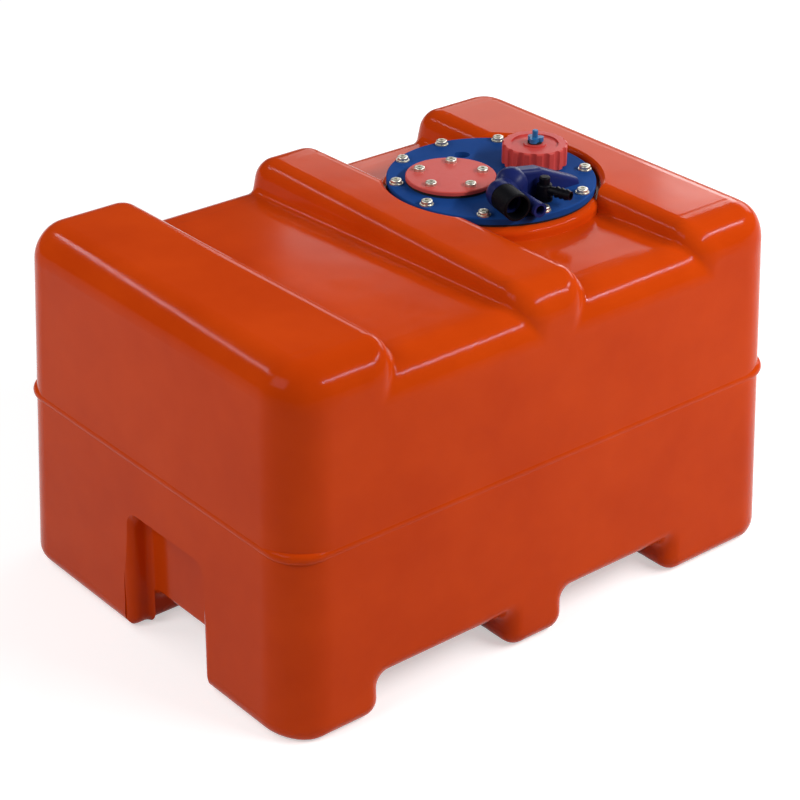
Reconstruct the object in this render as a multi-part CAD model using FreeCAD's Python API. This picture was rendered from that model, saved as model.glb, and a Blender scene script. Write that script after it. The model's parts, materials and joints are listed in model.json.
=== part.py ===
import FreeCAD, Part
import math
import os

# A fixed marine fuel tank: a hollow moulded shell with cross ridges and feet, and a round
# flange on its top that carries the filler, the sender cover, the elbow and the outlet.
# Millimetres. The origin is at the bottom centre, X along the length, Y across, Z up.

V = FreeCAD.Vector
UP = V(0, 0, 1)

# Shell
tank_length = 500.0            # at half height
tank_width = 362.0             # at half height
tank_height = 300.0
wall_lean = 5.4                # how far each side leans from half height to the top or the bottom
shell_wall = 6.0
corner_radius = 37.0           # vertical corners
top_edge_radius = 28.0         # top edges all round
foot_edge_radius = 13.0        # bottom edges
end_radius_share = 0.6         # how much of an edge's radius is gone at a ridge's very end
ridge_end_share = 0.8          # ridge narrowing at its ends, as a share of the end rounding

# Top ridges and channels: places of the four channel walls along X
ridge_1_right = -145.5
ridge_2_left = -27.5
ridge_2_right = 38.5
ridge_3_left = 151.0
channel_depth_front = 16.5
channel_depth_back = 27.0
channel_wall_angle = 78.0      # degrees from level
crest_radius = 17.0            # top edge of a channel wall
channel_fillet = 6.5           # foot of a channel wall

# Feet: places of the cross gaps along X and of the lengthwise gap along Y
foot_1_right = -170.0
foot_2_left = -42.0
foot_2_right = 17.0
foot_3_left = 132.0
cross_gap_height = 32.0
long_gap_height = 30.0
long_gap_front = -70.0
long_gap_back = 24.0
gap_top_radius = 12.0
gap_mouth_radius = 9.0         # rounded edges at the mouths of the lengthwise gap

# Shallow pocket in each end face above the lengthwise gap
end_pocket_depth = 16.0
end_pocket_top = 106.0
pocket_corner_radius = 6.0     # inside edges of the pocket

# Parting-line bead
bead_height = 156.0
bead_radius = 5.0
bead_face_rise = 0.6           # how far it stands out of the faces
bead_corner_rise = 3.2         # how far it stands out of the vertical corners

# Boss and the recess round the flange
flange_x = 105.0
flange_y = 14.0
boss_depth = 9.5               # below the ridge tops
boss_thickness = 18.0
boss_margin = 5.5              # boss outside the plate's edge
boss_edge_radius = 6.0
boss_flare = 15.0
boss_flare_drop = 14.0
recess_gap = 3.5               # between the plate's edge and the recess wall
recess_rim_radius = 5.0
recess_rim_rise = 0.2          # the rim's rounding ends this far above the ridge tops

# Flange plate and its fasteners
plate_radius = 85.5
plate_thickness = 5.5
plate_edge_radius = 1.2
gasket_thickness = 2.0
gasket_inset = 0.8
screw_count = 10
screw_edge_distance = 6.5      # from the plate's edge to the screws
first_screw_angle = 8.2
screw_radius = 2.5
screw_engagement = 9.5         # thread inside the insert
screw_clearance = 0.25
screw_head_radius = 4.6
screw_head_height = 3.2
screw_head_rounding = 1.4
socket_radius = 1.7
socket_depth = 1.8
washer_radius = 5.6
washer_thickness = 1.0
insert_radius = 4.0
insert_spare = 3.5             # insert below the screw's end
insert_wall = 6.5              # boss between the inserts and the access hole
fit_gap = 0.05                 # radial, round threaded and pressed pieces

# Sender cover
sender_angle = 157.6
sender_radius = 37.0
sender_thickness = 3.2
sender_edge_radius = 1.0
sender_gasket_thickness = 2.4
sender_gasket_inset = 0.6
sender_opening_radius = 19.0
sender_circle_radius = 27.0
sender_screw_count = 5
first_sender_angle = 49.0
sender_engagement = 4.0        # thread below the plate
sender_ring_depth = 8.0
sender_ring_wall = 3.5         # ring outside the sender screws
ring_gap = 0.9                 # between the ring and the shell's access hole

# Filler neck and cap
cap_x = 47.0
cap_y = -0.5
neck_bore_radius = 17.5
neck_wall = 3.1
neck_height = 11.5
thread_rise = 1.1
thread_root = 0.2              # thread sunk into the neck's wall
thread_pitch = 4.0
thread_width = 1.6             # at its root
thread_end_gap = 0.5           # neck above the thread
cap_radius = 27.0
cap_lift_gap = 1.4             # under the skirt, above the plate
cap_bore_clearance = 0.4
cap_roof = 4.6
cap_edge_radius = 1.6
cap_dish_radius = 19.5
cap_dish_depth = 1.2
cap_hub_radius = 9.5
flute_count = 16
flute_radius = 3.8
flute_depth = 1.8
seal_thickness = 2.0
seal_clearance = 0.3

# Vent screw in the cap
vent_stem_radius = 3.2
vent_stem_clearance = 0.3
vent_stem_tip = 1.2            # below the cap's roof
vent_base_height = 3.6
vent_lobe_count = 3
vent_lobe_radius = 3.2
vent_lobe_circle = 4.0
first_lobe_angle = 90.0
vent_peg_radius = 2.4
vent_peg_height = 6.2          # above the lobes
vent_peg_rounding = 0.8
vent_seal_radius = 6.0
vent_seal_thickness = 1.2

# Filler elbow: a turret with a side inlet, a breather pipe and a sloping web
elbow_x = -20.5
elbow_y = -46.5
turret_radius = 13.0
turret_height = 28.0
inlet_x = -16.7                # from the turret to the inlet's bend
inlet_y = -5.9
inlet_angle = -105.0
inlet_plate_gap = 0.4          # under the inlet, above the plate
inlet_collar = 6.2             # from the bend to the sleeve
spigot_wall = 2.1
spigot_length = 12.0           # inside the sleeve
breather_angle = -98.9
breather_reach = 42.0
breather_axis_height = 7.0
breather_radius = 6.0
breather_bore_radius = 4.0
breather_gap = 0.2             # between the breather pipe and the sleeve beside it
web_angle = -2.0
web_reach = 66.0
web_width = 14.0
web_top_height = 27.0
web_shoulder_reach = 26.0
web_shoulder_height = 22.8
web_tip_height = 5.0
web_edge_radius = 4.0
elbow_stem_radius = 11.0
elbow_stem_tip = 5.5           # below the nut
elbow_stem_clearance = 0.3
elbow_bore_radius = 8.5
elbow_nut_radius = 15.5
elbow_nut_height = 6.0
nut_notch_count = 8
nut_notch_radius = 2.0
elbow_seal_thickness = 1.6
elbow_seal_width = 1.4

# Black sleeve on the elbow's inlet
sleeve_radius = 11.4
sleeve_wall = 2.6
sleeve_length = 24.0
sleeve_mouth_step = 0.6        # how much wider the bore is beyond the spigot's end
sleeve_rounding = 0.8

# Fuel outlet, pick-up tube and strainer
outlet_angle = -89.0
outlet_gap = 0.5               # between the outlet's boss and the shell's access hole
outlet_body_radius = 6.2
outlet_body_height = 13.0
outlet_body_rounding = 1.4
outlet_cap_radius = 4.4
outlet_cap_height = 6.0        # above the body
outlet_foot_radius = 7.0
outlet_foot_height = 2.5
outlet_stem_radius = 4.2
outlet_stem_length = 16.0
outlet_bore_radius = 2.6
outlet_boss_radius = 6.0
outlet_boss_depth = 7.0
outlet_seal_thickness = 1.0
tail_angle = -76.0
tail_length = 25.0
tail_axis_height = 8.5
tail_radius = 3.6
barb_count = 3
barb_pitch = 4.4
barb_length = 3.5
barb_rise = 1.1
pickup_wall = 0.9
pickup_overlap = 8.0           # tube inside the outlet's stem
strainer_floor_gap = 12.0      # strainer above the shell's inner floor
strainer_radius = 7.0
strainer_length = 24.0
strainer_wall = 0.9
strainer_roof = 6.0
slot_count = 8
slot_width = 1.6
slot_length = 12.0
slot_height = 3.0              # above the strainer's lower rim

# Small open port
port_x = 12.0
port_y = 50.0
port_radius = 6.5
port_boss_radius = 10.0
port_boss_depth = 7.0

# Steps in the lofted roundings
end_steps = 7
mouth_steps = 4
sharp_radius = 0.2             # corners of a cutter that lie outside the shell
cutter_tuck = 0.5              # how far a cutter reaches past what it opens

# Sizes and heights that follow
half_length = tank_length / 2
half_width = tank_width / 2
channel_depth = (channel_depth_front + channel_depth_back) / 2
channel_slope = (channel_depth_back - channel_depth_front) / (tank_width - 2 * top_edge_radius)
boss_top = tank_height - boss_depth
boss_under = boss_top - boss_thickness
plate_bottom = boss_top + gasket_thickness
plate_top = plate_bottom + plate_thickness
screw_circle_radius = plate_radius - screw_edge_distance
access_radius = screw_circle_radius - insert_radius - insert_wall
insert_length = screw_engagement + insert_spare
insert_bottom = boss_top - insert_length
screw_length = washer_thickness + plate_thickness + gasket_thickness + screw_engagement
sender_top = plate_top + sender_gasket_thickness + sender_thickness
sender_ring_radius = sender_circle_radius + screw_radius + sender_ring_wall
sender_distance = access_radius - sender_ring_radius - ring_gap
sender_screw_length = sender_top - plate_bottom + sender_engagement
neck_radius = neck_bore_radius + neck_wall
neck_top = plate_top + neck_height
cap_bottom = plate_top + cap_lift_gap
cap_inside = neck_top + seal_thickness
cap_top = cap_inside + cap_roof
cap_bore_radius = neck_radius + thread_rise + cap_bore_clearance
vent_bore_radius = vent_stem_radius + vent_stem_clearance
vent_stem_length = vent_seal_thickness + cap_roof + vent_stem_tip
inlet_axis = plate_top + inlet_plate_gap + sleeve_radius
spigot_radius = sleeve_radius - sleeve_wall
elbow_hole_radius = elbow_stem_radius + elbow_stem_clearance
elbow_stem_length = plate_thickness + elbow_nut_height + elbow_stem_tip
outlet_distance = access_radius - outlet_boss_radius - outlet_gap
outlet_bottom = plate_top + outlet_seal_thickness
stem_bottom = outlet_bottom - outlet_stem_length
pickup_radius = outlet_bore_radius - fit_gap
strainer_bottom = cross_gap_height + shell_wall + strainer_floor_gap


def at_flange(x, y, z):
    return V(flange_x + x, flange_y + y, z)


def polar(radius, degrees):
    turn = math.radians(degrees)
    return radius * math.cos(turn), radius * math.sin(turn)


def around(count, radius, first, centre):
    """Points on a circle about a vertical line, evenly spaced."""
    places = []
    for i in range(count):
        x, y = polar(radius, first + 360.0 * i / count)
        places.append(centre + V(x, y, 0))
    return places


def disc(radius, height, base, hole=0.0):
    solid = Part.makeCylinder(radius, height, base)
    if hole:
        solid = solid.cut(Part.makeCylinder(hole, height, base))
    return solid


def bar(radius, start, end):
    return Part.makeCylinder(radius, (end - start).Length, start, end - start)


def fused(*pieces):
    return pieces[0].fuse(list(pieces[1:])).removeSplitter()


def turned(edges):
    """Solid of revolution about the flange's axis, from edges in radius and height."""
    face = Part.Face(Part.Wire(edges))
    face.translate(at_flange(0, 0, 0))
    return face.revolve(at_flange(0, 0, 0), UP, 360)


def chain(*points):
    """Straight edges through (radius, height) points."""
    corners = [V(r, 0, h) for r, h in points]
    return [Part.makeLine(corners[i], corners[i + 1]) for i in range(len(corners) - 1)]


def quarter(start, end, centre, radius):
    """Short arc between two (radius, height) points about a centre."""
    a, b, c = [V(r, 0, h) for r, h in (start, end, centre)]
    middle = c + ((a - c) + (b - c)).normalize() * radius
    return [Part.Arc(a, middle, b).toShape()]


def rounded_rim(solid, radius, height):
    """Round the level edges of a solid at one height."""
    rims = []
    for edge in solid.Edges:
        box = edge.BoundBox
        if box.ZLength < sharp_radius and abs(box.ZMin - height) < sharp_radius:
            rims.append(edge)
    return solid.makeFillet(radius, rims)


# Shell form

def corner_arc(before, corner, after, radius):
    """Start, middle and end of the arc that rounds a corner of an outline."""
    back = (before - corner).normalize()
    ahead = (after - corner).normalize()
    half = back.getAngle(ahead) / 2
    reach = radius / math.tan(half)
    inward = (back + ahead).normalize()
    middle = corner + inward * (radius / math.sin(half) - radius)
    return corner + back * reach, middle, corner + ahead * reach


def rounded_wire(corners, place):
    """Closed wire through (u, v, radius) corners, moved into space by place(u, v)."""
    count = len(corners)
    flat = [V(u, v, 0) for u, v, radius in corners]
    arcs = []
    for i in range(count):
        arcs.append(corner_arc(flat[i - 1], flat[i], flat[(i + 1) % count], corners[i][2]))
    edges = []
    for i in range(count):
        start, middle, end = [place(p.x, p.y) for p in arcs[i]]
        following = arcs[(i + 1) % count][0]
        edges.append(Part.Arc(start, middle, end).toShape())
        edges.append(Part.makeLine(end, place(following.x, following.y)))
    return Part.Wire(edges)


def round_in(radius, depth):
    """How far a rounding stands back from the side, at a depth behind the face."""
    if depth >= radius:
        return 0.0
    return radius - math.sqrt(radius ** 2 - (radius - depth) ** 2)


def quarter_depths(radius, steps):
    """Depths behind a face that divide a quarter round evenly by angle."""
    return [radius * (1 - math.cos(math.radians(90 * i / steps))) for i in range(steps + 1)]


def side_reach(half, z):
    """Half length or half width at a height, with the lean of the walls."""
    return half + wall_lean * (1 - 2 * z / tank_height)


def channel_floor(y):
    """Height of a channel floor at a place across the tank."""
    reach = half_width - top_edge_radius
    return tank_height - channel_depth - channel_slope * max(-reach, min(reach, y))


def wall_roundings(step, turn, share):
    """Radii at the top and foot of a channel wall, the top one limited by the wall's length."""
    longest = 0.98 * step / math.sin(turn) / math.tan(turn / 2)
    foot = channel_fillet * share
    return min(crest_radius * share, longest - foot), foot


def section_corners(y, depth, inset):
    """Outline along X and Z of the form, at one depth behind the front or the back face."""
    corner_in = round_in(corner_radius - inset, depth) + inset
    top_in = round_in(top_edge_radius - inset, depth)
    foot_in = round_in(foot_edge_radius, depth)
    top_share = 1 - end_radius_share * top_in / (top_edge_radius - inset)
    foot_share = 1 - end_radius_share * foot_in / foot_edge_radius
    low = inset + foot_in
    high = tank_height - inset - top_in
    floor = channel_floor(y) - inset - top_in
    ceiling = cross_gap_height + inset + foot_in
    turn = math.radians(channel_wall_angle)
    crest, hollow = wall_roundings(high - floor, turn, top_share)
    foot_out = channel_depth / math.tan(turn) / 2
    crest_in = (high - floor) / math.tan(turn) - foot_out
    ridge_in = inset + ridge_end_share * top_in
    foot_all_in = inset + foot_in
    top_round = top_edge_radius * top_share
    foot_round = foot_edge_radius * foot_share
    reach_low = side_reach(half_length, low) - corner_in
    reach_high = side_reach(half_length, high) - corner_in
    return [
        (-reach_low, low, foot_round),
        (-reach_high, high, top_round),
        (ridge_1_right - ridge_in - crest_in, high, crest),
        (ridge_1_right - ridge_in + foot_out, floor, hollow),
        (ridge_2_left + ridge_in - foot_out, floor, hollow),
        (ridge_2_left + ridge_in + crest_in, high, crest),
        (ridge_2_right - ridge_in - crest_in, high, crest),
        (ridge_2_right - ridge_in + foot_out, floor, hollow),
        (ridge_3_left + ridge_in - foot_out, floor, hollow),
        (ridge_3_left + ridge_in + crest_in, high, crest),
        (reach_high, high, top_round),
        (reach_low, low, foot_round),
        (foot_3_left + foot_all_in, low, foot_round),
        (foot_3_left + foot_all_in, ceiling, gap_top_radius),
        (foot_2_right - foot_all_in, ceiling, gap_top_radius),
        (foot_2_right - foot_all_in, low, foot_round),
        (foot_2_left + foot_all_in, low, foot_round),
        (foot_2_left + foot_all_in, ceiling, gap_top_radius),
        (foot_1_right - foot_all_in, ceiling, gap_top_radius),
        (foot_1_right - foot_all_in, low, foot_round),
    ]


def section_wire(y, depth, inset):
    share = y / half_width

    def place(x, z):
        return V(x, share * side_reach(half_width, z), z)

    return rounded_wire(section_corners(y, depth, inset), place)


def shell_form(inset):
    """The moulded form without the lengthwise gap, inset all round by a wall or by nothing."""
    reach = half_width - inset
    depths = quarter_depths(max(corner_radius, top_edge_radius) - inset, end_steps)
    front = [section_wire(-reach + depth, depth, inset) for depth in depths]
    back = [section_wire(reach - depth, depth, inset) for depth in reversed(depths)]
    front_end = Part.makeLoft(front, True, False)
    middle = Part.makeLoft([front[-1], back[0]], True, True)
    back_end = Part.makeLoft(back, True, False)
    return middle.fuse([front_end, back_end])


# Lengthwise gap and end pockets

def slot_wire(x, growth, top):
    """Outline across the tank of a gap that is open downwards, with flared lower edges."""
    front = long_gap_front - growth
    back = long_gap_back + growth
    spread = 2 * foot_edge_radius
    corners = [
        (front - spread, -spread, sharp_radius),
        (front - spread, -cutter_tuck, sharp_radius),
        (front, 0, foot_edge_radius),
        (front, top, gap_top_radius),
        (back, top, gap_top_radius),
        (back, 0, foot_edge_radius),
        (back + spread, -cutter_tuck, sharp_radius),
        (back + spread, -spread, sharp_radius),
    ]
    return rounded_wire(corners, lambda y, z: V(x, y, z))


def slot_run(stations, straight):
    """Cutter through (x, growth, top) stations."""
    return Part.makeLoft([slot_wire(*station) for station in stations], True, straight)


def slot_mouth(face, growth, top, widen):
    """Rounded mouth of a gap at x = face: it rises, and widens by a share, towards the face."""
    out = math.copysign(1, face)
    stations = []
    for depth in reversed(quarter_depths(gap_mouth_radius, mouth_steps)):
        flare = round_in(gap_mouth_radius, depth)
        stations.append((face - out * depth, growth + widen * flare, top + flare))
    return slot_run(stations, False)


def end_pocket(out, growth):
    """The shallow pocket in one end face, from its rounded inner edges to past its mouth."""
    top = end_pocket_top + growth
    deep = half_length - end_pocket_depth - growth
    face = side_reach(half_length, end_pocket_top / 2) - growth
    stations = []
    for depth in quarter_depths(pocket_corner_radius, mouth_steps):
        less = round_in(pocket_corner_radius, depth)
        stations.append((out * (deep + depth), growth - less, top - less))
    outer = (out * (face - gap_mouth_radius), growth, top)
    rim = (out * face, growth + gap_mouth_radius, top + gap_mouth_radius)
    outside = (out * (face + 4 * wall_lean),) + rim[1:]
    inner_edges = slot_run(stations, False)
    middle = slot_run([stations[-1], outer], True)
    mouth = slot_mouth(out * face, growth, top, 1)
    return inner_edges.fuse([middle, mouth, slot_run([rim, outside], True)])


def gap_cutters(growth):
    """The lengthwise gap, its ceiling's rounded ends, and the pockets in the end faces."""
    top = long_gap_height + growth
    reach = half_length - end_pocket_depth - growth + cutter_tuck
    cutters = [slot_run([(-reach, growth, top), (reach, growth, top)], True)]
    for out in (-1, 1):
        cutters.append(end_pocket(out, growth))
        cutters.append(slot_mouth(out * reach, growth, top, 0))
    return cutters


def gapped_form(inset):
    form = shell_form(inset)
    for cutter in gap_cutters(inset):
        form = form.cut(cutter)
    return form


# Boss, recess and bead

def recess_cutter():
    """Round recess over the boss, cut into the ridges beside it, with a rounded rim."""
    wall = plate_radius + recess_gap
    rim = wall + recess_rim_radius
    rim_top = tank_height + recess_rim_rise
    rim_low = rim_top - recess_rim_radius
    above = tank_height + recess_rim_radius
    edges = chain((0, above), (0, boss_top), (wall, boss_top), (wall, rim_low))
    edges += quarter((wall, rim_low), (rim, rim_top), (rim, rim_low), recess_rim_radius)
    edges += chain((rim, rim_top), (rim, above), (0, above))
    return turned(edges)


def boss():
    """Raised round boss under the flange, with a rounded edge and a flare to the floor."""
    radius = plate_radius + boss_margin
    edge_in = radius - boss_edge_radius
    edge_low = boss_top - boss_edge_radius
    foot = edge_low - boss_flare_drop
    outer = radius + boss_flare
    edges = chain((0, foot), (0, boss_top), (edge_in, boss_top))
    edges += quarter((edge_in, boss_top), (radius, edge_low), (edge_in, edge_low), boss_edge_radius)
    flare = Part.BezierCurve()
    flare.setPoles([V(radius, 0, edge_low), V(radius, 0, foot), V(outer, 0, foot)])
    edges += [flare.toShape()]
    edges += chain((outer, foot), (0, foot))
    return turned(edges)


def bead():
    """Ridge along the mould's parting line, faint on the faces and prominent round the corners."""
    inset = bead_radius - bead_face_rise
    reach_x = side_reach(half_length, bead_height) - inset
    reach_y = side_reach(half_width, bead_height) - inset
    diagonal = math.sqrt(2)
    wanted = bead_radius - bead_corner_rise + (diagonal - 1) * corner_radius - diagonal * inset
    bend = wanted / (diagonal - 1)
    corners = [(-reach_x, -reach_y, bend), (reach_x, -reach_y, bend)]
    corners += [(reach_x, reach_y, bend), (-reach_x, reach_y, bend)]
    path = rounded_wire(corners, lambda x, y: V(x, y, bead_height))
    first = path.Edges[0]
    start = first.valueAt(first.FirstParameter)
    along = first.tangentAt(first.FirstParameter)
    profile = Part.Wire(Part.makeCircle(bead_radius, start, along))
    return path.makePipeShell([profile], True, True)


def flange_places(z):
    return around(screw_count, screw_circle_radius, first_screw_angle, at_flange(0, 0, z))


def cavity():
    """The room inside the shell, lower under the boss and above the feet's gaps."""
    boss_reach = plate_radius + recess_gap + recess_rim_radius + shell_wall
    boss_room = disc(boss_reach, tank_height - boss_under, at_flange(0, 0, boss_under))
    return gapped_form(shell_wall).cut(boss_room)


def tank_shell():
    outer = gapped_form(0.0).cut(recess_cutter()).fuse([boss(), bead()])
    low = min(boss_under, channel_floor(half_width) - shell_wall) - cutter_tuck
    access = disc(access_radius, boss_top - low, at_flange(0, 0, low))
    holes = [disc(insert_radius + fit_gap, insert_length, p) for p in flange_places(insert_bottom)]
    return outer.cut([cavity(), access] + holes)


# Flange: inserts, gasket, plate and fasteners

def flange_inserts():
    bore = screw_radius + fit_gap
    inserts = [disc(insert_radius, insert_length, p, bore) for p in flange_places(insert_bottom)]
    return Part.makeCompound(inserts)


def flange_gasket():
    inner = access_radius + gasket_inset
    ring = disc(plate_radius - gasket_inset, gasket_thickness, at_flange(0, 0, boss_top), inner)
    bore = screw_radius + screw_clearance
    return ring.cut([disc(bore, gasket_thickness, p) for p in flange_places(boss_top)])


def neck_thread():
    """Raised screw thread round the filler neck, run into the neck's wall."""
    root = neck_radius - thread_root
    crest = neck_radius + thread_rise
    half = thread_width / 2
    rise = neck_top - thread_end_gap - cap_bottom - thread_width
    helix = Part.makeHelix(thread_pitch, rise, root)
    corners = [V(root, 0, -half), V(crest, 0, -half / 3), V(crest, 0, half / 3), V(root, 0, half)]
    profile = Part.makePolygon(corners + corners[:1])
    ridge = Part.Wire(helix).makePipeShell([profile], True, True)
    ridge.translate(at_flange(cap_x, cap_y, cap_bottom + half))
    return ridge


def sender_centre(z):
    x, y = polar(sender_distance, sender_angle)
    return at_flange(x, y, z)


def sender_places(z):
    return around(sender_screw_count, sender_circle_radius, first_sender_angle, sender_centre(z))


def outlet_centre(z):
    x, y = polar(outlet_distance, outlet_angle)
    return at_flange(x, y, z)


def plate_holes():
    screw_bore = screw_radius + screw_clearance
    holes = [disc(screw_bore, plate_thickness, p) for p in flange_places(plate_bottom)]
    low = plate_bottom - sender_ring_depth
    holes += [disc(screw_radius + fit_gap, plate_top - low, p) for p in sender_places(low)]
    holes.append(disc(sender_opening_radius, plate_top - low, sender_centre(low)))
    neck_base = at_flange(cap_x, cap_y, plate_bottom)
    holes.append(disc(neck_bore_radius, neck_top - plate_bottom, neck_base))
    elbow_base = at_flange(elbow_x, elbow_y, plate_bottom)
    holes.append(disc(elbow_hole_radius, plate_thickness, elbow_base))
    low = plate_bottom - outlet_boss_depth
    holes.append(disc(outlet_stem_radius + fit_gap, plate_top - low, outlet_centre(low)))
    low = plate_bottom - port_boss_depth
    holes.append(disc(port_radius, plate_top - low, at_flange(port_x, port_y, low)))
    return holes


def flange_plate():
    plate = disc(plate_radius, plate_thickness, at_flange(0, 0, plate_bottom))
    plate = rounded_rim(plate, plate_edge_radius, plate_top)
    neck = disc(neck_radius, neck_top - plate_bottom, at_flange(cap_x, cap_y, plate_bottom))
    ring_base = sender_centre(plate_bottom - sender_ring_depth)
    ring = disc(sender_ring_radius, sender_ring_depth, ring_base)
    outlet_base = outlet_centre(plate_bottom - outlet_boss_depth)
    outlet = disc(outlet_boss_radius, outlet_boss_depth, outlet_base)
    port_base = at_flange(port_x, port_y, plate_bottom - port_boss_depth)
    port = disc(port_boss_radius, port_boss_depth, port_base)
    body = fused(plate, neck, ring, outlet, port)
    return body.fuse(neck_thread()).cut(plate_holes())


def socket_screw(base, length):
    """Button-head screw with a socket, its head's seat at base."""
    top = base.z + screw_head_height
    head = rounded_rim(disc(screw_head_radius, screw_head_height, base), screw_head_rounding, top)
    shank = disc(screw_radius, length, base - UP * length)
    socket = disc(socket_radius, socket_depth, V(base.x, base.y, top - socket_depth))
    return head.fuse(shank).cut(socket)


def flange_screws():
    seats = flange_places(plate_top + washer_thickness)
    return Part.makeCompound([socket_screw(p, screw_length) for p in seats])


def flange_washers():
    bore = screw_radius + screw_clearance
    washers = [disc(washer_radius, washer_thickness, p, bore) for p in flange_places(plate_top)]
    return Part.makeCompound(washers)


# Sender cover

def sender_gasket():
    radius = sender_radius - sender_gasket_inset
    base = sender_centre(plate_top)
    ring = disc(radius, sender_gasket_thickness, base, sender_opening_radius)
    bore = screw_radius + screw_clearance
    return ring.cut([disc(bore, sender_gasket_thickness, p) for p in sender_places(plate_top)])


def sender_cover():
    low = plate_top + sender_gasket_thickness
    cover = disc(sender_radius, sender_thickness, sender_centre(low))
    cover = rounded_rim(cover, sender_edge_radius, sender_top)
    bore = screw_radius + screw_clearance
    return cover.cut([disc(bore, sender_thickness, p) for p in sender_places(low)])


def sender_screws():
    screws = [socket_screw(p, sender_screw_length) for p in sender_places(sender_top)]
    return Part.makeCompound(screws)


# Filler cap and vent screw

def at_cap(z):
    return at_flange(cap_x, cap_y, z)


def filler_cap():
    height = cap_top - cap_bottom
    cap = disc(cap_radius, height, at_cap(cap_bottom))
    cap = rounded_rim(cap, cap_edge_radius, cap_top)
    flute_circle = cap_radius + flute_radius - flute_depth
    cuts = [disc(flute_radius, height, p)
            for p in around(flute_count, flute_circle, 0.0, at_cap(cap_bottom))]
    cuts.append(disc(cap_bore_radius, cap_inside - cap_bottom, at_cap(cap_bottom)))
    cuts.append(disc(cap_dish_radius, cap_dish_depth, at_cap(cap_top - cap_dish_depth), cap_hub_radius))
    cuts.append(disc(vent_bore_radius, height, at_cap(cap_bottom)))
    return cap.cut(cuts)


def cap_seal():
    return disc(cap_bore_radius - seal_clearance, seal_thickness, at_cap(neck_top), neck_bore_radius)


def vent_seal():
    return disc(vent_seal_radius, vent_seal_thickness, at_cap(cap_top), vent_bore_radius)


def vent_screw():
    base = at_cap(cap_top + vent_seal_thickness)
    lobes = [disc(vent_lobe_radius, vent_base_height, p)
             for p in around(vent_lobe_count, vent_lobe_circle, first_lobe_angle, base)]
    peg_height = vent_base_height + vent_peg_height
    peg = rounded_rim(disc(vent_peg_radius, peg_height, base), vent_peg_rounding, base.z + peg_height)
    stem = disc(vent_stem_radius, vent_stem_length, base - UP * vent_stem_length)
    return fused(stem, disc(vent_lobe_circle, vent_base_height, base), peg, *lobes)


# Filler elbow with its seal and nut, and the sleeve on its inlet

def elbow_point(angle, reach, z):
    x, y = polar(reach, angle)
    return at_flange(elbow_x + x, elbow_y + y, z)


def inlet_point(reach):
    """On the inlet's axis, at a distance from its bend."""
    x, y = polar(reach, inlet_angle)
    return at_flange(elbow_x + inlet_x + x, elbow_y + inlet_y + y, inlet_axis)


def elbow_web():
    """Sloping web on the side of the elbow away from the inlet."""
    top = plate_top + web_top_height
    shoulder = plate_top + web_shoulder_height
    tip = plate_top + web_tip_height
    profile = [(0, plate_top), (web_reach, plate_top), (web_reach, tip)]
    profile += [(web_shoulder_reach, shoulder), (0, top)]
    side = V(*polar(web_width / 2, web_angle + 90), 0)
    corners = [elbow_point(web_angle, reach, z) - side for reach, z in profile]
    web = Part.Face(Part.makePolygon(corners + corners[:1])).extrude(side * 2)
    upper = []
    for edge in web.Edges:
        along_side = abs(edge.tangentAt(edge.FirstParameter).dot(side)) > sharp_radius
        if edge.BoundBox.ZMin > plate_top + sharp_radius and not along_side:
            upper.append(edge)
    return web.makeFillet(web_edge_radius, upper)


def filler_elbow():
    foot = elbow_point(0, 0, plate_top)
    crown = plate_top + turret_height - turret_radius
    middle = elbow_point(0, 0, inlet_axis)
    bend = inlet_point(0)
    collar_end = inlet_point(inlet_collar)
    spigot_end = inlet_point(inlet_collar + spigot_length)
    stem_end = foot - UP * elbow_stem_length
    breather_axis = plate_top + breather_axis_height
    breather_start = elbow_point(breather_angle, 0, breather_axis)
    breather_end = elbow_point(breather_angle, breather_reach, breather_axis)
    body = disc(turret_radius, crown - plate_top, foot).fuse([
        Part.makeSphere(turret_radius, elbow_point(0, 0, crown)),
        bar(sleeve_radius, middle, bend),
        Part.makeSphere(sleeve_radius, bend),
        bar(sleeve_radius, bend, collar_end),
        bar(breather_radius, breather_start, breather_end),
        disc(elbow_stem_radius, elbow_stem_length, stem_end),
        elbow_web(),
    ])
    sleeve_room = bar(sleeve_radius + breather_gap, collar_end, inlet_point(inlet_collar + sleeve_length))
    body = body.cut(sleeve_room).fuse(bar(spigot_radius, bend, spigot_end))
    groove_radius = elbow_hole_radius + elbow_seal_width + fit_gap
    passage_radius = spigot_radius - spigot_wall
    return body.cut([
        bar(passage_radius, middle, bend),
        Part.makeSphere(passage_radius, bend),
        bar(passage_radius, bend, spigot_end),
        disc(elbow_bore_radius, inlet_axis - stem_end.z, stem_end),
        bar(breather_bore_radius, breather_start, breather_end),
        disc(groove_radius, elbow_seal_thickness, foot, elbow_stem_radius),
    ])


def elbow_seal():
    outer = elbow_hole_radius + elbow_seal_width
    return disc(outer, elbow_seal_thickness, elbow_point(0, 0, plate_top), elbow_hole_radius)


def elbow_nut():
    base = elbow_point(0, 0, plate_bottom - elbow_nut_height)
    nut = disc(elbow_nut_radius, elbow_nut_height, base, elbow_stem_radius + fit_gap)
    notches = around(nut_notch_count, elbow_nut_radius, 0.0, base)
    return nut.cut([disc(nut_notch_radius, elbow_nut_height, p) for p in notches])


def inlet_sleeve():
    """Sleeve that grips the spigot, with a slightly wider free mouth beyond it."""
    start = inlet_point(inlet_collar)
    grip_end = inlet_point(inlet_collar + spigot_length)
    end = inlet_point(inlet_collar + sleeve_length)
    body = bar(sleeve_radius, start, end)
    body = body.makeChamfer(sleeve_rounding, [e for e in body.Edges if e.Closed])
    grip = bar(spigot_radius + fit_gap, start, grip_end)
    return body.cut([grip, bar(spigot_radius + sleeve_mouth_step, grip_end, end)])


# Fuel outlet, pick-up tube and strainer

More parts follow.
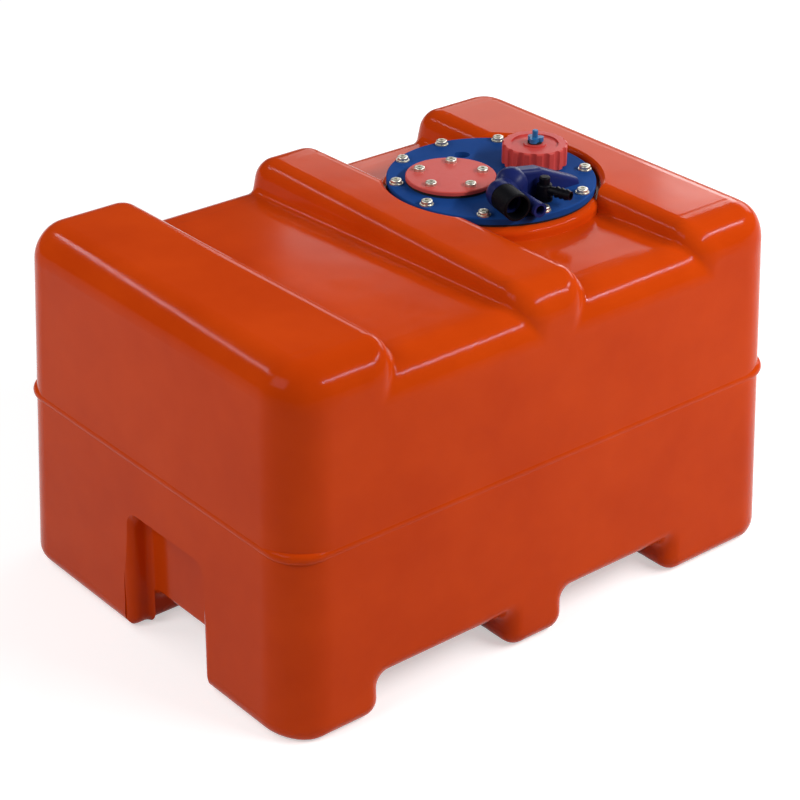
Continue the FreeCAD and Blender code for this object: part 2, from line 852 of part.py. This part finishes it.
def outlet_fitting():
    base = outlet_centre(outlet_bottom)
    body_top = outlet_bottom + outlet_body_height
    body = disc(outlet_body_radius, outlet_body_height, base)
    body = rounded_rim(body, outlet_body_rounding, body_top)
    cap = disc(outlet_cap_radius, outlet_cap_height, outlet_centre(body_top))
    cap = rounded_rim(cap, outlet_body_rounding, body_top + outlet_cap_height)
    foot = disc(outlet_foot_radius, outlet_foot_height, base)
    stem = disc(outlet_stem_radius, outlet_stem_length, outlet_centre(stem_bottom))
    start = outlet_centre(outlet_bottom + tail_axis_height)
    along = V(*polar(1, tail_angle), 0)
    end = start + along * tail_length
    barbs = []
    for i in range(barb_count):
        place = end - along * (i + 1) * barb_pitch
        barbs.append(Part.makeCone(tail_radius + barb_rise, tail_radius, barb_length, place, along))
    solid = body.fuse([cap, foot, stem, bar(tail_radius, start, end)] + barbs)
    bore_up = bar(outlet_bore_radius, outlet_centre(stem_bottom), start)
    return solid.cut([bore_up, bar(outlet_bore_radius, start, end)])


def outlet_seal():
    bore = outlet_stem_radius + fit_gap
    return disc(outlet_foot_radius, outlet_seal_thickness, outlet_centre(plate_top), bore)


def pickup_tube():
    top = stem_bottom + pickup_overlap
    low = strainer_bottom + strainer_length - strainer_roof
    return disc(pickup_radius, top - low, outlet_centre(low), pickup_radius - pickup_wall)


def pickup_strainer():
    """Slotted cup round the lower end of the pick-up tube, open below."""
    room_height = strainer_length - strainer_roof
    cup = disc(strainer_radius, strainer_length, outlet_centre(strainer_bottom))
    cuts = [
        disc(strainer_radius - strainer_wall, room_height, outlet_centre(strainer_bottom)),
        disc(pickup_radius + fit_gap, strainer_length, outlet_centre(strainer_bottom)),
    ]
    for i in range(slot_count):
        slot = Part.makeBox(2 * strainer_wall, slot_width, slot_length)
        slot.translate(V(strainer_radius - 1.5 * strainer_wall, -slot_width / 2, 0))
        slot.rotate(V(0, 0, 0), UP, 360.0 * i / slot_count)
        slot.translate(outlet_centre(strainer_bottom + slot_height))
        cuts.append(slot)
    return cup.cut(cuts)


pieces = [
    tank_shell, flange_inserts, flange_gasket, flange_plate, flange_screws, flange_washers,
    sender_gasket, sender_cover, sender_screws,
    filler_cap, cap_seal, vent_seal, vent_screw,
    filler_elbow, elbow_seal, elbow_nut, inlet_sleeve,
    outlet_fitting, outlet_seal, pickup_tube, pickup_strainer,
]

os.makedirs("parts", exist_ok=True)
for piece in pieces:
    name = piece.__name__
    shape = piece()
    shape.exportStep("parts/" + name + ".step")
    print(name, len(shape.Solids), "solids, valid:", shape.isValid(), "mm3:", round(shape.Volume))
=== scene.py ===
import bpy
import json
import math
from mathutils import Matrix, Vector

# Looks of a moulded marine fuel tank: procedural plastics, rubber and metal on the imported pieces,
# a pale studio floor, soft lamps and the photograph's camera. Metres, +Z up.

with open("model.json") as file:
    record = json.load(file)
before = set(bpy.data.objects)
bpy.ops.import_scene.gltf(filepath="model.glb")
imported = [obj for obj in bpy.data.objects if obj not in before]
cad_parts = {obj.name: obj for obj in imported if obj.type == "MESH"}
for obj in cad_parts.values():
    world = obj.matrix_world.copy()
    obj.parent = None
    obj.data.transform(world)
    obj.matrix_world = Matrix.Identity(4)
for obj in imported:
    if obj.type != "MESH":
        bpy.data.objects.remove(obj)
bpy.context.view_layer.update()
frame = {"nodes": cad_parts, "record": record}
nodes = frame["nodes"]

# Photograph's camera, a pinhole on a 800 x 800 image
VIEW_AZIMUTH = -39.826
VIEW_ELEVATION = 28.215
VIEW_ROLL = 0.461
VIEW_DISTANCE = 1.8695
VIEW_AIM = (-0.00122, -0.01541)   # to the right and up, in the camera's own plane
VIEW_CENTRE = Vector((0, 0, 0.150))
FOCAL_PIXELS = 2294.2
IMAGE_PIXELS = 800
SENSOR_MM = 36.0

# Lamps: azimuth, elevation, distance, width, height, watts
LAMPS = {
    "key_panel": (36, 37, 1.35, 1.20, 0.06, 16.0),
    "back_panel": (107, 19, 1.50, 0.90, 0.42, 5.6),
    "sheen_panel": (132, 19, 1.50, 0.80, 0.34, 2.0),
    "left_panel": (-88, 36, 1.40, 0.90, 0.50, 7.2),
    "rear_strip": (-146, 38, 1.40, 0.80, 0.08, 4.5),
}
LAMP_TARGET = Vector((0, 0, 0.20))
WHITE = (1, 1, 1, 1)
WORLD_STRENGTH = 0.10

# Floor
FLOOR_HALF = 12.0
FLOOR_PAINT = (0.80, 0.80, 0.80, 1)
FLOOR_GLOW = (0.50, 0.95)         # near and far, for the camera and in gloss; no light on the object
FLOOR_GLOW_REACH = (0.7, 2.6)     # metres from the middle

# Noise in every plastic: scale, detail, roughness
MOTTLE = (14.0, 3.0, 0.55)
SPECKLE = (260.0, 3.0, 0.6)
WAVES = (22.0, 1.0, 0.5)
PEEL = (900.0, 2.0, 0.6)
MOTTLE_STOPS = (0.32, 0.68)       # where the dark and the light colour are reached
SPECKLE_SPAN = (0.3, 0.7)
GLOSS_SPREAD = 0.04
WAVE_DEPTH = 0.004
WAVE_STRENGTH = 0.05
PEEL_DEPTH = 0.0004

USUAL_SPECULAR = 0.5
COOL = (0.62, 0.72, 1.0)          # tint of the tank's gloss

# Materials by slot: two colours, roughness, and the peel's strength
LOOKS = {
    "tank_plastic": dict(
        dark=(0.540, 0.046, 0.0020), light=(0.600, 0.056, 0.0030), roughness=0.13, peel=0.045,
        specular=0.05, tint=COOL,
    ),
    "plate_blue": dict(
        dark=(0.010, 0.050, 0.210), light=(0.014, 0.064, 0.260), roughness=0.48, peel=0.06,
        specular=0.006,
    ),
    "elbow_blue": dict(
        dark=(0.008, 0.013, 0.085), light=(0.013, 0.021, 0.125), roughness=0.36, peel=0.06,
        specular=0.10,
    ),
    "cover_red": dict(
        dark=(0.560, 0.072, 0.060), light=(0.620, 0.090, 0.075), roughness=0.42, peel=0.08,
        specular=0.16,
    ),
    "cap_red": dict(
        dark=(0.540, 0.050, 0.042), light=(0.620, 0.072, 0.062), roughness=0.42, peel=0.08,
        specular=0.24,
    ),
    "vent_blue": dict(
        dark=(0.006, 0.110, 0.290), light=(0.010, 0.150, 0.370), roughness=0.32, peel=0.05,
    ),
    "seal_black": dict(
        dark=(0.006, 0.006, 0.007), light=(0.012, 0.012, 0.013), roughness=0.75, peel=0.25,
        specular=0.3,
    ),
    "sleeve_black": dict(
        dark=(0.0015, 0.0015, 0.003), light=(0.003, 0.003, 0.005), roughness=0.60, peel=0.20,
        specular=0.08,
    ),
    "outlet_black": dict(
        dark=(0.0015, 0.0015, 0.004), light=(0.003, 0.003, 0.006), roughness=0.45, peel=0.12,
        specular=0.12,
    ),
    "screw_steel": dict(
        dark=(0.62, 0.59, 0.50), light=(0.76, 0.74, 0.66), roughness=0.42, peel=0.06, metallic=1.0,
    ),
    "insert_brass": dict(
        dark=(0.60, 0.42, 0.16), light=(0.70, 0.52, 0.22), roughness=0.30, peel=0.08, metallic=1.0,
    ),
    "tube_plastic": dict(
        dark=(0.60, 0.59, 0.55), light=(0.70, 0.69, 0.65), roughness=0.40, peel=0.08,
    ),
}


# Camera, lamps and floor

def direction(azimuth, elevation):
    """From the object outwards. Azimuth 0 is the front, 90 the right end."""
    a, e = math.radians(azimuth), math.radians(elevation)
    return Vector((math.sin(a) * math.cos(e), -math.cos(a) * math.cos(e), math.sin(e)))


def add_camera():
    back = direction(VIEW_AZIMUTH, VIEW_ELEVATION)
    turned = math.radians(VIEW_AZIMUTH)
    level = Vector((math.cos(turned), math.sin(turned), 0))
    upright = back.cross(level)
    roll = math.radians(VIEW_ROLL)
    right = level * math.cos(roll) + upright * math.sin(roll)
    up = upright * math.cos(roll) - level * math.sin(roll)
    data = bpy.data.cameras.new("photo_camera")
    data.sensor_width = SENSOR_MM
    data.lens = FOCAL_PIXELS * SENSOR_MM / IMAGE_PIXELS
    camera = bpy.data.objects.new("photo_camera", data)
    place = VIEW_CENTRE + back * VIEW_DISTANCE + right * VIEW_AIM[0] + up * VIEW_AIM[1]
    turn = Matrix((right, up, back)).transposed()
    camera.matrix_world = Matrix.Translation(place) @ turn.to_4x4()
    bpy.context.collection.objects.link(camera)
    bpy.context.scene.camera = camera


def add_lamp(name, azimuth, elevation, distance, width, height, watts):
    data = bpy.data.lights.new(name, "AREA")
    data.shape = "RECTANGLE"
    data.size = width
    data.size_y = height
    data.energy = watts
    lamp = bpy.data.objects.new(name, data)
    out = direction(azimuth, elevation)
    lamp.location = LAMP_TARGET + out * distance
    lamp.rotation_mode = "QUATERNION"
    lamp.rotation_quaternion = out.to_track_quat("Z", "Y")
    bpy.context.collection.objects.link(lamp)


def combine(tree, operation, first, second):
    made = tree.nodes.new("ShaderNodeMath")
    made.operation = operation
    tree.links.new(first, made.inputs[0])
    tree.links.new(second, made.inputs[1])
    return made.outputs[0]


def floor_glow(tree):
    """White for the camera and in gloss, weaker near the object."""
    coords = tree.nodes.new("ShaderNodeTexCoord")
    reach = tree.nodes.new("ShaderNodeVectorMath")
    reach.operation = "LENGTH"
    tree.links.new(coords.outputs["Object"], reach.inputs[0])
    strength = remap(tree, reach.outputs["Value"], *FLOOR_GLOW_REACH, *FLOOR_GLOW)
    path = tree.nodes.new("ShaderNodeLightPath").outputs
    seen = combine(tree, "MAXIMUM", path["Is Camera Ray"], path["Is Glossy Ray"])
    seen = combine(tree, "MAXIMUM", seen, path["Is Transmission Ray"])
    glow = tree.nodes.new("ShaderNodeEmission")
    tree.links.new(combine(tree, "MULTIPLY", seen, strength), glow.inputs["Strength"])
    return glow.outputs[0]


def add_floor():
    mesh = bpy.data.meshes.new("studio_floor")
    corners = [(u * FLOOR_HALF, v * FLOOR_HALF, 0) for u, v in ((-1, -1), (1, -1), (1, 1), (-1, 1))]
    mesh.from_pydata(corners, [], [(0, 1, 2, 3)])
    floor = bpy.data.objects.new("studio_floor", mesh)
    bpy.context.collection.objects.link(floor)
    material = bpy.data.materials.new("floor_white")
    material.use_nodes = True
    tree = material.node_tree
    tree.nodes.clear()
    out = tree.nodes.new("ShaderNodeOutputMaterial")
    mix = tree.nodes.new("ShaderNodeAddShader")
    paint = tree.nodes.new("ShaderNodeBsdfDiffuse")
    paint.inputs["Color"].default_value = FLOOR_PAINT
    tree.links.new(paint.outputs[0], mix.inputs[0])
    tree.links.new(floor_glow(tree), mix.inputs[1])
    tree.links.new(mix.outputs[0], out.inputs["Surface"])
    mesh.materials.append(material)


def add_world():
    world = bpy.data.worlds.new("studio_air")
    world.use_nodes = True
    sky = world.node_tree.nodes["Background"]
    sky.inputs["Color"].default_value = WHITE
    sky.inputs["Strength"].default_value = WORLD_STRENGTH
    bpy.context.scene.world = world


# Materials

def noise(tree, coords, scale, detail, rough):
    made = tree.nodes.new("ShaderNodeTexNoise")
    made.inputs["Scale"].default_value = scale
    made.inputs["Detail"].default_value = detail
    made.inputs["Roughness"].default_value = rough
    tree.links.new(coords, made.inputs["Vector"])
    return made.outputs["Fac"]


def two_colours(tree, source, dark, light):
    made = tree.nodes.new("ShaderNodeValToRGB")
    for element, place, colour in zip(made.color_ramp.elements, MOTTLE_STOPS, (dark, light)):
        element.position = place
        element.color = (*colour, 1)
    tree.links.new(source, made.inputs["Fac"])
    return made.outputs["Color"]


def remap(tree, source, low, high, to_low, to_high):
    made = tree.nodes.new("ShaderNodeMapRange")
    made.inputs["From Min"].default_value = low
    made.inputs["From Max"].default_value = high
    made.inputs["To Min"].default_value = to_low
    made.inputs["To Max"].default_value = to_high
    tree.links.new(source, made.inputs["Value"])
    return made.outputs["Result"]


def bump(tree, height, distance, strength, under=None):
    made = tree.nodes.new("ShaderNodeBump")
    made.inputs["Distance"].default_value = distance
    made.inputs["Strength"].default_value = strength
    tree.links.new(height, made.inputs["Height"])
    if under is not None:
        tree.links.new(under, made.inputs["Normal"])
    return made.outputs["Normal"]


def plastic(name, dark, light, roughness, peel, specular=USUAL_SPECULAR, tint=None, metallic=0.0):
    """Mottled colour, uneven gloss, a fine peel and shallow waves in the surface."""
    material = bpy.data.materials.new(name)
    material.use_nodes = True
    tree = material.node_tree
    shader = tree.nodes["Principled BSDF"]
    coords = tree.nodes.new("ShaderNodeTexCoord").outputs["Object"]
    colour = two_colours(tree, noise(tree, coords, *MOTTLE), dark, light)
    tree.links.new(colour, shader.inputs["Base Color"])
    speckle = noise(tree, coords, *SPECKLE)
    gloss = remap(tree, speckle, *SPECKLE_SPAN, roughness - GLOSS_SPREAD, roughness + GLOSS_SPREAD)
    tree.links.new(gloss, shader.inputs["Roughness"])
    waves = bump(tree, noise(tree, coords, *WAVES), WAVE_DEPTH, WAVE_STRENGTH)
    skin = bump(tree, noise(tree, coords, *PEEL), PEEL_DEPTH, peel, waves)
    tree.links.new(skin, shader.inputs["Normal"])
    shader.inputs["Specular IOR Level"].default_value = specular
    shader.inputs["Metallic"].default_value = metallic
    if tint:
        shader.inputs["Specular Tint"].default_value = (*tint, 1)
    return material


def dress_nodes():
    slot_of = {part["node"]: part["material_slot"] for part in frame["record"]["subparts"]}
    made = {}
    for name, piece in nodes.items():
        slot = slot_of[name]
        if slot not in made:
            made[slot] = plastic("look_" + slot, **LOOKS[slot])
        piece.data.materials.clear()
        piece.data.materials.append(made[slot])


add_camera()
for lamp_name, values in LAMPS.items():
    add_lamp(lamp_name, *values)
add_floor()
add_world()
dress_nodes()
bpy.context.scene.view_settings.view_transform = "Standard"
